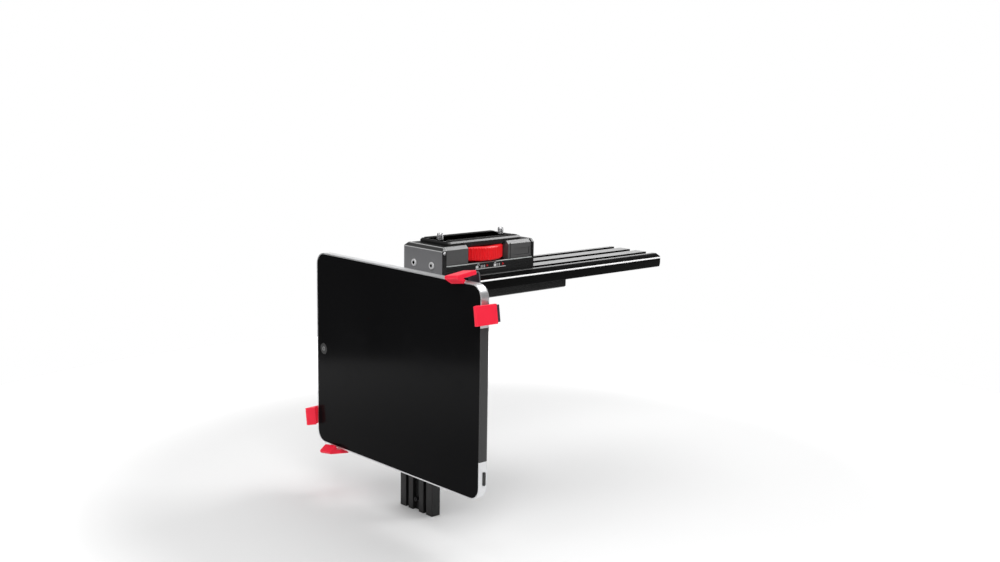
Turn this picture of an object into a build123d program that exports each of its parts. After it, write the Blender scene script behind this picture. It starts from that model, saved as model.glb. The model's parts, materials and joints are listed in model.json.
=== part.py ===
from build123d import *
from math import cos, radians, sin, sqrt
import os

# Under-lens tablet teleprompter. Millimetres, +Z up, +Y from the talent towards
# the operator, origin at the mouth of the tripod hole under the mounting foot.

os.makedirs("parts", exist_ok=True)

# ---- driving dimensions -------------------------------------------------------
gap = 0.3  # between pieces that move past each other
fit = 0.05  # radial clearance of a running fit

foot_width, foot_length, foot_height = 60, 110, 9
tripod_hole_r, small_hole_r = 3.97, 2.55  # tap sizes of 3/8-16 and 1/4-20
small_hole_y = 20

rail_front, rail_rear = -101, 185
rail_bottom, rail_top = foot_height, 22.6
rail_flat, rail_half, rail_base = 32.5, 40.2, 38
shoulder, rail_corner = 3.4, 3
slot_spacing, slot_mouth, slot_width = 23, 9, 15
slot_lip, slot_depth = 3.5, 9

post_width, post_thick, post_low, post_high = 48, 10, -202.5, 19
post_front = rail_front - post_thick
groove_spacing, groove_width, groove_depth = 13.2, 4.2, 3.5
middle_groove = 9

riser_front, riser_rear, plate_thick = -104.5, 11, 5
rear_plate_thick = 3
base_half, block_half, ledge = 28.3, 26.5, 34.4
riser_low, block_top, roof_top = rail_top + gap, 51.4, 55
block_chamfer, top_slope = 3, 3.6
window_front, window_rear = -72, -22
wheel_y, wheel_r, wheel_low, wheel_high = -47, 31, 35.6, 48.6
camera_screw_r, camera_screw_ys = 3.175, (-84, -8)
plate_screw_x, plate_screw_z, plate_screw_bite = 12.8, 33.6, 5.2

tablet_width, tablet_height, tablet_depth = 242.8, 189.7, 13.4
tablet_front, centre_z = -139, -61
tablet_back = tablet_front + tablet_depth
side_depth = 7.4  # straight part of the tablet's edge

spine_angle = 33.9
spine_width, spine_length, spine_thick = 30, 140, 6.6
spine_front = tablet_back + 1
spine_back = spine_front + spine_thick
arm_width, arm_thick = 23.4, 3
sheet = 1.5
corner_reach = 118.9  # from the tablet's centre to a bracket's pivot
bracket_turn = 8.3  # how far the brackets stand off square
clip_width, sleeve_width, sleeve_wall = 14.6, 17, 1.2


# ---- planes and small helpers -------------------------------------------------
def facing_talent(y):
    """Sketch plane at Y = y, seen from the talent: x is X, y is Z, normal is -Y."""
    return Plane.XZ.offset(-y)


def facing_right(x):
    """Sketch plane at X = x, seen from +X: x is Y, y is Z, normal is +X."""
    return Plane.YZ.offset(x)


def diagonal(y, turn=0):
    """Plane at Y = y with x along the holder's spine, outwards and up to the right."""
    angle = radians(spine_angle + turn)
    return Plane(origin=(0, y, centre_z), x_dir=(cos(angle), 0, sin(angle)), z_dir=(0, -1, 0))


def save(piece, name):
    piece.part.label = name
    export_step(piece.part, f"parts/{name}.step")


# ---- rail, foot, post ---------------------------------------------------------
def make_rail():
    with BuildPart() as rail:
        with BuildSketch(facing_talent(rail_rear)):
            with BuildLine():
                half = Polyline(
                    (0, rail_bottom), (rail_base - 1, rail_bottom), (rail_base, rail_bottom + 1),
                    (rail_half, rail_top - 6.5), (rail_half, rail_top - shoulder), (rail_flat, rail_top),
                    (0, rail_top),
                )
                mirror(half, about=Plane.YZ)
            make_face()
            with Locations(*[(x, rail_top) for x in (-slot_spacing, 0, slot_spacing)]):
                Rectangle(slot_mouth, 2 * slot_depth - 1, mode=Mode.SUBTRACT)
            with Locations(*[(x, rail_top - slot_lip) for x in (-slot_spacing, 0, slot_spacing)]):
                Rectangle(
                    slot_width, slot_depth - slot_lip, align=(Align.CENTER, Align.MAX),
                    mode=Mode.SUBTRACT,
                )
        extrude(amount=rail_rear - rail_front)
        shoulders = rail.edges().filter_by(Axis.Y).filter_by_position(
            Axis.Z, rail_top - shoulder - 0.05, rail_top - shoulder + 0.05)
        fillet(shoulders, 1.2)
        with BuildSketch(Plane.XY.offset(rail_bottom)):
            with Locations((0, rail_rear)):
                RectangleRounded(
                    2 * rail_half, 2 * (rail_rear - rail_front), rail_corner,
                    align=(Align.CENTER, Align.MAX),
                )
        extrude(amount=rail_top - rail_bottom, mode=Mode.INTERSECT)
        with BuildSketch(Plane.XY.offset(rail_bottom)):
            with Locations(*foot_screw_spots, *bracket_screw_spots):
                Circle(2.5 + fit)
        extrude(amount=screw_bite + 0.3, mode=Mode.SUBTRACT)
        with BuildSketch(Plane.XY.offset(rail_top - slot_depth)):
            with Locations((0, rail_stop_y)):
                Circle(2 + fit)
        extrude(amount=-2.5, mode=Mode.SUBTRACT)
    save(rail, "rail")


foot_screw_spots = [(x, y) for x in (-22, 22) for y in (-45, 45)]
bracket_screw_spots = [(0, rail_front + 13), (0, rail_front + 31)]
screw_bite = 3.8  # how deep a foot screw enters the rail
foot_screw_room = 5.2
rail_stop_y = rail_rear - 7
post_stop_z = post_low + 11


def make_foot():
    with BuildPart() as foot:
        with BuildSketch():
            RectangleRounded(foot_width, foot_length, 3)
        extrude(amount=foot_height)
        chamfer(foot.faces().sort_by(Axis.Z)[0].edges(), 1)
        with Locations((0, 0, 0)):
            Hole(tripod_hole_r)
        with Locations((0, small_hole_y, 0), (0, -small_hole_y, 0)):
            Hole(small_hole_r)
        with BuildSketch():
            with Locations(*foot_screw_spots):
                Circle(4.8)
        extrude(amount=foot_screw_room, mode=Mode.SUBTRACT)
        with BuildSketch():
            with Locations(*foot_screw_spots):
                Circle(2.7)
        extrude(amount=foot_height, mode=Mode.SUBTRACT)
    save(foot, "mounting_foot")


def cap_screws(name, plane, spots, head_r, head_high, shank_r, shank_long):
    """Socket-head screws: the plane is under the heads, and the shanks go against it."""
    with BuildPart() as screws:
        with BuildSketch(plane):
            with Locations(*spots):
                Circle(head_r)
        extrude(amount=head_high)
        tops = screws.faces().sort_by(Axis((0, 0, 0), plane.z_dir))[-len(spots):]
        chamfer(tops.edges(), head_high * 0.12)
        with BuildSketch(plane.offset(head_high * 0.4)):
            with Locations(*spots):
                RegularPolygon(head_r * 0.5, 6)
        extrude(amount=head_high, mode=Mode.SUBTRACT)
        with BuildSketch(plane):
            with Locations(*spots):
                Circle(shank_r)
        extrude(amount=-shank_long)
    save(screws, name)


def make_post():
    with BuildPart() as post:
        with BuildSketch(Plane.XY.offset(post_low)):
            with Locations((0, post_front + post_thick / 2)):
                RectangleRounded(post_width, post_thick, 0.8)
            with Locations(*[(x, post_front) for x in (-groove_spacing, groove_spacing)]):
                Rectangle(groove_width, 2 * groove_depth, mode=Mode.SUBTRACT)
            with Locations((0, post_front)):
                Rectangle(middle_groove, 2 * groove_depth, mode=Mode.SUBTRACT)
            with Locations(*[(x, rail_front) for x in (-groove_spacing, groove_spacing)]):
                Rectangle(groove_width, 2, mode=Mode.SUBTRACT)
        extrude(amount=post_high - post_low)
        with BuildSketch(facing_talent(rail_front)):
            with Locations(*[(0, z) for z in post_screw_zs]):
                Circle(2.5 + fit)
        extrude(amount=5.8, mode=Mode.SUBTRACT)
        with BuildSketch(facing_talent(post_front + groove_depth)):
            with Locations((0, post_stop_z)):
                Circle(2 + fit)
        extrude(amount=-2.5, mode=Mode.SUBTRACT)
    save(post, "post")


post_screw_zs = (-7, -21)
angle_half, angle_thick, angle_low = 13, 5, -30


def make_post_bracket():
    with BuildPart() as angle:
        with BuildSketch(facing_right(-angle_half)):
            with BuildLine():
                Polyline(
                    (rail_front, rail_bottom), (rail_front + 42, rail_bottom),
                    (rail_front + 42, rail_bottom - angle_thick),
                    (rail_front + angle_thick, rail_bottom - angle_thick),
                    (rail_front + angle_thick, angle_low), (rail_front, angle_low), close=True,
                )
            make_face()
        extrude(amount=2 * angle_half)
        inner = angle.edges().filter_by(Axis.X).sort_by_distance(
            (0, rail_front + angle_thick, rail_bottom - angle_thick))[0]
        fillet(inner, 4)
        with BuildSketch(Plane.XY.offset(rail_bottom)):
            with Locations(*bracket_screw_spots):
                Circle(2.7)
        extrude(amount=-angle_thick, mode=Mode.SUBTRACT)
        with BuildSketch(facing_talent(rail_front + angle_thick)):
            with Locations(*[(0, z) for z in post_screw_zs]):
                Circle(2.7)
        extrude(amount=angle_thick, mode=Mode.SUBTRACT)
    save(angle, "post_bracket")


def make_post_bracket_screws():
    head_r, head_high = 4.4, 3
    under = Plane.XY.offset(rail_bottom - angle_thick)
    behind = facing_talent(rail_front + angle_thick)
    with BuildPart() as screws:
        with BuildSketch(under):
            with Locations(*bracket_screw_spots):
                Circle(head_r)
        extrude(amount=-head_high)
        with BuildSketch(under):
            with Locations(*bracket_screw_spots):
                Circle(2.5)
        extrude(amount=angle_thick + screw_bite)
        with BuildSketch(behind):
            with Locations(*[(0, z) for z in post_screw_zs]):
                Circle(head_r)
        extrude(amount=-head_high)
        with BuildSketch(behind):
            with Locations(*[(0, z) for z in post_screw_zs]):
                Circle(2.5)
        extrude(amount=angle_thick + 5.5)
        with BuildSketch(under.offset(-head_high)):
            with Locations(*bracket_screw_spots):
                RegularPolygon(2.2, 6)
        extrude(amount=1.8, mode=Mode.SUBTRACT)
        with BuildSketch(behind.offset(-head_high)):
            with Locations(*[(0, z) for z in post_screw_zs]):
                RegularPolygon(2.2, 6)
        extrude(amount=1.8, mode=Mode.SUBTRACT)
    save(screws, "post_bracket_screws")


def make_stop_screws():
    """One set screw stands in the rail's middle slot and one in the post's middle groove."""
    with BuildPart() as screws:
        with BuildSketch(Plane.XY.offset(rail_top - slot_depth - 2.3)):
            with Locations((0, rail_stop_y)):
                Circle(2)
        extrude(amount=slot_depth + 1.3)
        with BuildSketch(facing_talent(post_front + groove_depth + 2.3)):
            with Locations((0, post_stop_z)):
                Circle(2)
        extrude(amount=groove_depth + 3)
        with BuildSketch(Plane.XY.offset(rail_top - 1)):
            with Locations((0, rail_stop_y)):
                RegularPolygon(1.2, 6)
        extrude(amount=-2, mode=Mode.SUBTRACT)
        with BuildSketch(facing_talent(post_front - 0.7)):
            with Locations((0, post_stop_z)):
                RegularPolygon(1.2, 6)
        extrude(amount=-2, mode=Mode.SUBTRACT)
    save(screws, "stop_screws")


# ---- riser --------------------------------------------------------------------
block_front = riser_front + plate_thick
block_rear = riser_rear - rear_plate_thick
wheel_room = wheel_r + 0.7
guide_low, guide_width = rail_top - 2.4, 8.4
base_screw_spots = [(x, y) for x in (-13.5, 13.5) for y in (-86, -2)]
roof_screw_spots = [(x, y) for x in (-8.5, 8.5) for y in (-85.5, -6)]
base_head_r, base_head_room = 4, 4.6


def make_base_plate():
    length = block_rear - block_front
    middle = (block_rear + block_front) / 2
    with BuildPart() as base:
        with BuildSketch(Plane.XY.offset(riser_low)):
            with Locations((0, middle)):
                Rectangle(2 * base_half, length)
        extrude(amount=ledge - riser_low)
        chamfer(base.faces().sort_by(Axis.Z)[-1].edges().filter_by(Axis.Y), 0.8)
        with BuildSketch(Plane.XY.offset(riser_low)):
            with Locations(*[(x, middle) for x in (-slot_spacing, slot_spacing)]):
                Rectangle(guide_width, length - 8)
        extrude(amount=1.5, mode=Mode.SUBTRACT)
        with BuildSketch(Plane.XY.offset(riser_low)):
            with Locations(*[(0, y) for y in camera_screw_ys]):
                Circle(6.5)
        extrude(amount=6.5, mode=Mode.SUBTRACT)
        with BuildSketch(Plane.XY.offset(riser_low)):
            with Locations(*base_screw_spots):
                Circle(base_head_r + 0.3)
        extrude(amount=base_head_room, mode=Mode.SUBTRACT)
        with BuildSketch(Plane.XY.offset(riser_low)):
            with Locations(*base_screw_spots):
                Circle(2.2)
            with Locations(*[(0, y) for y in camera_screw_ys]):
                Circle(camera_screw_r + gap)
            with Locations((0, wheel_y)):
                Circle(4.3)
        extrude(amount=ledge, mode=Mode.SUBTRACT)
        for face, way in ((block_front, -1), (block_rear, 1)):
            with BuildSketch(facing_talent(face)):
                with Locations((-plate_screw_x, plate_screw_z), (plate_screw_x, plate_screw_z)):
                    Circle(2 + fit)
            extrude(amount=way * plate_screw_bite, mode=Mode.SUBTRACT)
    save(base, "base_plate")


def make_guide_strips():
    with BuildPart() as strips:
        with BuildSketch(Plane.XY.offset(guide_low)):
            with Locations(*[(x, (block_rear + block_front) / 2) for x in
                             (-slot_spacing, slot_spacing)]):
                Rectangle(guide_width, block_rear - block_front - 8)
        extrude(amount=riser_low + 1.5 - guide_low)
        chamfer(strips.faces().group_by(Axis.Z)[0].edges(), 0.5)
    save(strips, "guide_strips")


def make_block(name, front, rear, camera_y):
    """One of the two blocks that stand on the base plate, before and behind the wheel."""
    screw_face = block_front if camera_y == camera_screw_ys[0] else block_rear
    inward = -1 if camera_y == camera_screw_ys[0] else 1
    with BuildPart() as block:
        with BuildSketch(Plane.XY.offset(ledge)):
            with Locations((0, (front + rear) / 2)):
                Rectangle(2 * block_half, rear - front)
        extrude(amount=block_top - ledge)
        chamfer(block.faces().sort_by(Axis.Z)[-1].edges().filter_by(Axis.Y), block_chamfer)
        with BuildSketch(Plane.XY.offset(ledge)):
            with Locations((0, wheel_y)):
                Circle(wheel_room)
        extrude(amount=block_top - ledge, mode=Mode.SUBTRACT)
        with BuildSketch(Plane.XY.offset(ledge)):
            with Locations((0, camera_y)):
                Circle(camera_screw_r + fit)
        extrude(amount=block_top - ledge, mode=Mode.SUBTRACT)
        with BuildSketch(Plane.XY.offset(ledge)):
            with Locations(*[s for s in base_screw_spots if front < s[1] < rear]):
                Circle(2 + fit)
        extrude(amount=8.2, mode=Mode.SUBTRACT)
        with BuildSketch(Plane.XY.offset(block_top)):
            with Locations(*[s for s in roof_screw_spots if front < s[1] < rear]):
                Circle(2 + fit)
        extrude(amount=-6.2, mode=Mode.SUBTRACT)
        with BuildSketch(facing_talent(screw_face)):
            with Locations((-plate_screw_x, plate_screw_z), (plate_screw_x, plate_screw_z)):
                Circle(2 + fit)
        extrude(amount=inward * plate_screw_bite, mode=Mode.SUBTRACT)
        if inward > 0:
            for side in (-1, 1):
                with BuildSketch(facing_right(side * block_half)):
                    with Locations((-4.5, panel_z)):
                        Rectangle(20, 7)
                    with Locations((-19, (ledge + block_top) / 2)):
                        Rectangle(1.2, block_top - ledge)
                extrude(amount=-side * 0.8, mode=Mode.SUBTRACT)
    save(block, name)


panel_z = 40.5


def make_front_plate():
    with BuildPart() as plate:
        with BuildSketch(facing_talent(block_front)):
            with Locations((0, riser_low)):
                Rectangle(2 * base_half, block_top - riser_low, align=(Align.CENTER, Align.MIN))
        extrude(amount=plate_thick)
        chamfer(plate.edges().filter_by(Axis.Y).group_by(Axis.Z)[-1], block_chamfer)
        with BuildSketch(facing_right(-base_half)):
            with BuildLine():
                Polyline((riser_front, block_top - top_slope), (riser_front + top_slope, block_top),
                         (riser_front, block_top), close=True)
            make_face()
        extrude(amount=2 * base_half, mode=Mode.SUBTRACT)
        chamfer(plate.faces().sort_by(Axis.Y)[0].edges().filter_by(Axis.Z), 0.5)
        with BuildSketch(facing_talent(block_front)):
            with Locations((-plate_screw_x, plate_screw_z), (plate_screw_x, plate_screw_z)):
                Circle(2.2)
        extrude(amount=plate_thick, mode=Mode.SUBTRACT)
        with BuildSketch(facing_talent(riser_front)):
            with Locations((-plate_screw_x, plate_screw_z), (plate_screw_x, plate_screw_z)):
                Circle(3.8)
        extrude(amount=-2.6, mode=Mode.SUBTRACT)
        with BuildSketch(facing_right(base_half)):
            with Locations((button_y, button_z)):
                Circle(button_r + fit)
        extrude(amount=-6.5, mode=Mode.SUBTRACT)
    save(plate, "front_plate")


button_y, button_z, button_r = riser_front + 2.7, 46.2, 1.5


def make_release_button():
    with BuildPart() as button:
        with BuildSketch(facing_right(base_half + 0.6)):
            with Locations((button_y, button_z)):
                Circle(button_r)
        extrude(amount=-4.8)
        chamfer(button.faces().sort_by(Axis.X)[-1].edges(), 0.4)
    save(button, "release_button")


def make_rear_plate():
    with BuildPart() as plate:
        with BuildSketch(facing_talent(riser_rear)):
            with Locations((0, riser_low)):
                Rectangle(2 * base_half - 1, block_top - riser_low,
                          align=(Align.CENTER, Align.MIN))
        extrude(amount=rear_plate_thick)
        chamfer(plate.edges().filter_by(Axis.Y).group_by(Axis.Z)[-1], block_chamfer)
        chamfer(plate.faces().sort_by(Axis.Y)[-1].edges(), 0.6)
        with BuildSketch(facing_talent(riser_rear)):
            with Locations((-plate_screw_x, plate_screw_z), (plate_screw_x, plate_screw_z)):
                Circle(2.2)
        extrude(amount=rear_plate_thick, mode=Mode.SUBTRACT)
    save(plate, "rear_plate")


def make_top_plate():
    """Roof over both blocks; a boss under it hangs in the wheel's window."""
    middle = (roof_rear + roof_front) / 2
    with BuildPart() as roof:
        with BuildSketch(Plane.XY.offset(block_top)):
            with Locations((0, middle)):
                Rectangle(2 * roof_half, roof_rear - roof_front)
        extrude(amount=roof_top - block_top)
        chamfer(roof.edges().filter_by(Axis.Z), 2)
        chamfer(roof.faces().sort_by(Axis.Z)[-1].edges(), 1.6)
        with BuildSketch(Plane.XY.offset(block_top)):
            with Locations((0, (window_front + window_rear) / 2)):
                Rectangle(2 * roof_half, window_rear - window_front - 2 * gap)
        extrude(amount=wheel_high + 0.4 - block_top)
        with BuildSketch(Plane.XY.offset(block_top)):
            with Locations(*[(0, y) for y in camera_screw_ys]):
                Circle(camera_screw_r + gap)
            with Locations(*roof_screw_spots):
                Circle(2.2)
        extrude(amount=roof_top - block_top, mode=Mode.SUBTRACT)
        with BuildSketch(Plane.XY.offset(roof_top)):
            with Locations(*roof_screw_spots):
                Circle(4)
        extrude(amount=-roof_screw_room, mode=Mode.SUBTRACT)
        with BuildSketch(Plane.XY.offset(roof_top)):
            with Locations(*[(x, middle) for x in (-pad_x, pad_x)]):
                Rectangle(pad_width + 0.1, pad_length + 0.1)
        extrude(amount=-pad_sunk, mode=Mode.SUBTRACT)
    save(roof, "top_plate")


pad_x, pad_width, pad_length, pad_sunk, pad_proud = 16, 6, 84, 0.8, 0.6
roof_front, roof_rear, roof_half, roof_screw_room = -91.5, 0, 22, 2.4


def make_camera_pads():
    with BuildPart() as pads:
        with BuildSketch(Plane.XY.offset(roof_top - pad_sunk)):
            with Locations(*[(x, (roof_rear + roof_front) / 2) for x in (-pad_x, pad_x)]):
                RectangleRounded(pad_width, pad_length, 1)
        extrude(amount=pad_sunk + pad_proud)
    save(pads, "camera_pads")


def make_wheel_washer():
    with BuildPart() as washer:
        with BuildSketch(Plane.XY.offset(ledge)):
            with Locations((0, wheel_y)):
                Circle(13)
                Circle(4.3, mode=Mode.SUBTRACT)
        extrude(amount=wheel_low - 0.2 - ledge)
    save(washer, "wheel_washer")


knurl_count, knurl_r = 72, 0.9


def make_thumbwheel():
    middle = (wheel_low + wheel_high) / 2
    half = (wheel_high - wheel_low) / 2
    with BuildPart() as wheel:
        with BuildSketch(Plane.XY.offset(wheel_low)):
            with Locations((0, wheel_y)):
                Circle(wheel_r)
        extrude(amount=wheel_high - wheel_low)
        chamfer(wheel.edges().filter_by(GeomType.CIRCLE), 1.3)
        for side in (-1, 1):
            face = Plane.XY.offset(middle + side * half)
            with BuildSketch(face):
                with Locations((0, wheel_y)):
                    Circle(wheel_r - 6)
                    Circle(11, mode=Mode.SUBTRACT)
            extrude(amount=-side * 2.5, mode=Mode.SUBTRACT)
        with BuildSketch(Plane.XY.offset(wheel_low)):
            with Locations((0, wheel_y)):
                Circle(bolt_r + fit)
                with PolarLocations(wheel_r + 0.25, knurl_count):
                    Circle(knurl_r)
        extrude(amount=wheel_high - wheel_low, mode=Mode.SUBTRACT)
    save(wheel, "thumbwheel")


bolt_r = 4


def make_clamp_bolt():
    """T-head bolt: the head fills the slot under its lips and the neck stands in its mouth."""
    head_top = rail_top - slot_lip - 0.1
    with BuildPart() as bolt:
        with BuildSketch(Plane.XY.offset(head_top)):
            with Locations((0, wheel_y)):
                RectangleRounded(slot_width - 1, 22, 1)
        extrude(amount=-4)
        with BuildSketch(Plane.XY.offset(head_top)):
            with Locations((0, wheel_y)):
                RectangleRounded(slot_mouth - 0.7, 16, 1)
        extrude(amount=slot_lip - 0.3)
        with BuildSketch(Plane.XY.offset(head_top)):
            with Locations((0, wheel_y)):
                Circle(bolt_r)
        extrude(amount=wheel_high - 1 - head_top)
        chamfer(bolt.faces().sort_by(Axis.Z)[-1].edges(), 0.6)
    save(bolt, "clamp_bolt")


thread_proud = 6


def make_camera_screw(name, y):
    """Captive 1/4-20 screw: slotted head in the base plate's recess, relieved in the roof."""
    head_low, head_high = riser_low + 0.8, 5
    with BuildPart() as screw:
        with BuildSketch(Plane.XY.offset(head_low)):
            with Locations((0, y)):
                Circle(6)
        extrude(amount=head_high)
        with BuildSketch(Plane.XY.offset(head_low)):
            with Locations((0, y)):
                Rectangle(11, 1.6)
        extrude(amount=1.6, mode=Mode.SUBTRACT)
        for low, high, radius in (
            (head_low + head_high, block_top, camera_screw_r),
            (block_top, roof_top + 0.2, camera_screw_r - 0.6),
            (roof_top + 0.2, roof_top + thread_proud, camera_screw_r),
        ):
            with BuildSketch(Plane.XY.offset(low)):
                with Locations((0, y)):
                    Circle(radius)
            extrude(amount=high - low)
        chamfer(screw.faces().sort_by(Axis.Z)[-1].edges(), 0.6)
    save(screw, name)


# ---- carriage and swivel ------------------------------------------------------
carriage_wall, carriage_half = 4, 25
carriage_front = post_front - gap - carriage_wall
lip_rear = rail_front + gap + 3.5
washer_thick = carriage_front - (spine_back + gap)
pivot_r, pivot_head_r = 3, 5.5


def make_carriage():
    inner = post_width / 2 + gap
    outer = inner + carriage_wall
    with BuildPart() as carriage:
        with BuildSketch(Plane.XY.offset(centre_z - carriage_half)):
            with Locations((0, (carriage_front + lip_rear) / 2)):
                RectangleRounded(2 * outer, lip_rear - carriage_front, 2)
            with Locations((0, (post_front + rail_front) / 2)):
                Rectangle(2 * inner, post_thick + 2 * gap, mode=Mode.SUBTRACT)
            with Locations((0, lip_rear)):
                Rectangle(2 * (angle_half + 1), 12, mode=Mode.SUBTRACT)
        extrude(amount=2 * carriage_half)
        with BuildSketch(facing_right(outer)):
            with Locations((knob_y, centre_z)):
                Circle(7)
        extrude(amount=2.5)
        with BuildSketch(facing_right(outer + 2.5)):
            with Locations((knob_y, centre_z)):
                Circle(3 + fit)
        extrude(amount=-carriage_wall - 2.5, mode=Mode.SUBTRACT)
        with BuildSketch(facing_talent(post_front - gap)):
            with Locations((0, centre_z)):
                Circle(pivot_r + fit)
        extrude(amount=carriage_wall, mode=Mode.SUBTRACT)
    save(carriage, "carriage")


knob_y = post_front + post_thick / 2


def make_carriage_knob():
    start = post_width / 2 + gap + carriage_wall + 2.5 + gap
    with BuildPart() as knob:
        with BuildSketch(facing_right(start)):
            with Locations((knob_y, centre_z)):
                Circle(8.5)
                with PolarLocations(8.9, 12):
                    Circle(1.1, mode=Mode.SUBTRACT)
        extrude(amount=11)
        with BuildSketch(facing_right(post_width / 2 + 0.15)):
            with Locations((knob_y, centre_z)):
                Circle(3)
        extrude(amount=start - post_width / 2)
    save(knob, "carriage_knob")


def make_friction_washer():
    with BuildPart() as washer:
        with BuildSketch(facing_talent(carriage_front)):
            with Locations((0, centre_z)):
                Circle(20)
                Circle(pivot_r + fit, mode=Mode.SUBTRACT)
        extrude(amount=washer_thick)
    save(washer, "friction_washer")


def make_pivot_screw():
    head_front = spine_front + sheet + 0.2
    with BuildPart() as screw:
        with BuildSketch(facing_talent(spine_back - sheet - 0.1)):
            with Locations((0, centre_z)):
                Circle(pivot_head_r)
        extrude(amount=spine_back - sheet - 0.1 - head_front)
        with BuildSketch(facing_talent(head_front)):
            with Locations((0, centre_z)):
                RegularPolygon(2.3, 6)
        extrude(amount=-1.5, mode=Mode.SUBTRACT)
        with BuildSketch(facing_talent(post_front - gap)):
            with Locations((0, centre_z)):
                Circle(pivot_r)
        extrude(amount=post_front - gap - (spine_back - sheet - 0.1))
    save(screw, "pivot_screw")


# ---- holder: spine, arms, brackets, clips -------------------------------------
lock_reach, lock_r, lock_high = 55, 9, 5
arm_start = 12


def make_spine():
    with BuildPart() as spine:
        with BuildSketch(diagonal(spine_back)):
            RectangleRounded(spine_length, spine_width, 1.5)
        extrude(amount=spine_thick)
        with BuildSketch(diagonal(spine_back - sheet)):
            Rectangle(spine_length + 2, arm_width + 0.6)
        extrude(amount=spine_thick - 2 * sheet, mode=Mode.SUBTRACT)
        with BuildSketch(diagonal(spine_back)):
            Circle(pivot_r + fit)
            with Locations((-lock_reach, 0), (lock_reach, 0)):
                Circle(2 + fit)
        extrude(amount=sheet, mode=Mode.SUBTRACT)
    save(spine, "spine")


def make_spine_pads():
    with BuildPart() as pads:
        with BuildSketch(diagonal(spine_front)):
            with Locations((-42, 0), (42, 0)):
                RectangleRounded(40, 22, 2)
        extrude(amount=spine_front - tablet_back)
    save(pads, "spine_pads")


def make_arm(name, turn):
    """Flat bar that draws out of the spine; its outer end carries a corner bracket."""
    front = spine_front + sheet + 0.3
    with BuildPart() as arm:
        with BuildSketch(diagonal(front + arm_thick, turn)):
            with Locations(((arm_start + corner_reach) / 2, 0)):
                Rectangle(corner_reach - arm_start, arm_width)
            with Locations((corner_reach, 0)):
                Circle(arm_width / 2)
            with Locations((corner_reach, 0)):
                Circle(rivet_r + fit, mode=Mode.SUBTRACT)
        extrude(amount=arm_thick)
    save(arm, name)


rivet_r, rivet_head_r = 3, 5


def make_rivet(name, turn):
    """Shoulder rivet: fixed in the arm, and the bracket turns on it."""
    arm_back = spine_front + sheet + 0.3 + arm_thick
    bracket_front = spine_front
    with BuildPart() as rivet:
        with BuildSketch(diagonal(arm_back + 1, turn)):
            with Locations((corner_reach, 0)):
                Circle(rivet_head_r)
        extrude(amount=1)
        with BuildSketch(diagonal(arm_back, turn)):
            with Locations((corner_reach, 0)):
                Circle(rivet_r)
        extrude(amount=arm_back - bracket_front + 0.1)
        with BuildSketch(diagonal(bracket_front - 0.1, turn)):
            with Locations((corner_reach, 0)):
                Circle(rivet_head_r)
        extrude(amount=0.5)
    save(rivet, name)


def corner(half_turn):
    """The bracket's pivot, for the upper corner (1) or the lower one (-1)."""
    angle = radians(spine_angle)
    return (half_turn * corner_reach * cos(angle), half_turn * corner_reach * sin(angle) + centre_z)


def clip_plane(half_turn, outward, across):
    """Plane through a clip's middle: x runs outwards from the pivot, y towards the talent."""
    angle = radians(outward)
    way = (half_turn * cos(angle), 0, half_turn * sin(angle))
    x, z = corner(half_turn)
    return Plane(
        origin=(x, 0, z), x_dir=way, z_dir=(way[2], 0, -way[0])).offset(across)


# Along the clip, from the tablet's edge outwards, and forwards from the glass.
clip_bend_out, clip_peak_out, clip_tip_out = 7, 4, 0.3
clip_peak_front, clip_tip_front = 9, 3.6
sheet_middle = spine_front + sheet / 2
bend_r = 2.2


def clip_points(edge):
    """The sheet's middle line: behind the tablet, round its edge, and back to the glass."""
    return (
        (0, -sheet_middle),
        (edge + clip_bend_out, -sheet_middle),
        (edge + clip_peak_out, clip_peak_front - tablet_front),
        (edge + clip_tip_out, clip_tip_front - tablet_front),
    )


def clip_edges(half_turn):
    """For each clip of a bracket: its direction and how far the tablet's edge is along it."""
    x, z = corner(1)
    tilt = radians(bracket_turn)
    to_side = (tablet_width / 2 - x) / cos(tilt)
    to_top = (tablet_height / 2 - (z - centre_z)) / cos(tilt)
    return ((bracket_turn, to_side), (bracket_turn + 90, to_top))


def hook(lead, peak, end, width):
    """Outline of a strip that follows the lead line to the peak and turns back to its end."""
    back = Line(peak, end)
    with BuildSketch() as outline:
        trace(lead, line_width=width)
        trace(back, line_width=width)
        with Locations(peak):
            Circle(width / 2)
    return outline.sketch


def sheet_outline(edge):
    """The whole bent sheet of one clip, seen from its side."""
    middle = clip_points(edge)
    return hook(FilletPolyline(*middle[:3], radius=bend_r), *middle[2:], sheet)


def make_bracket(name, half_turn):
    x, z = corner(half_turn)
    clips = [(outward, sheet_outline(edge)) for outward, edge in clip_edges(half_turn)]
    with BuildPart() as bracket:
        for outward, outline in clips:
            with BuildSketch(clip_plane(half_turn, outward, -clip_width / 2)):
                add(outline)
            extrude(amount=clip_width)
        with BuildSketch(facing_talent(spine_front + sheet)):
            with Locations((x, z)):
                Circle(11)
        extrude(amount=sheet)
        with BuildSketch(facing_talent(spine_front + sheet)):
            with Locations((x, z)):
                Circle(rivet_r + fit)
        extrude(amount=sheet, mode=Mode.SUBTRACT)
    save(bracket, name)


sleeve_start = 4  # how far from the back bend the rubber begins


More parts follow.
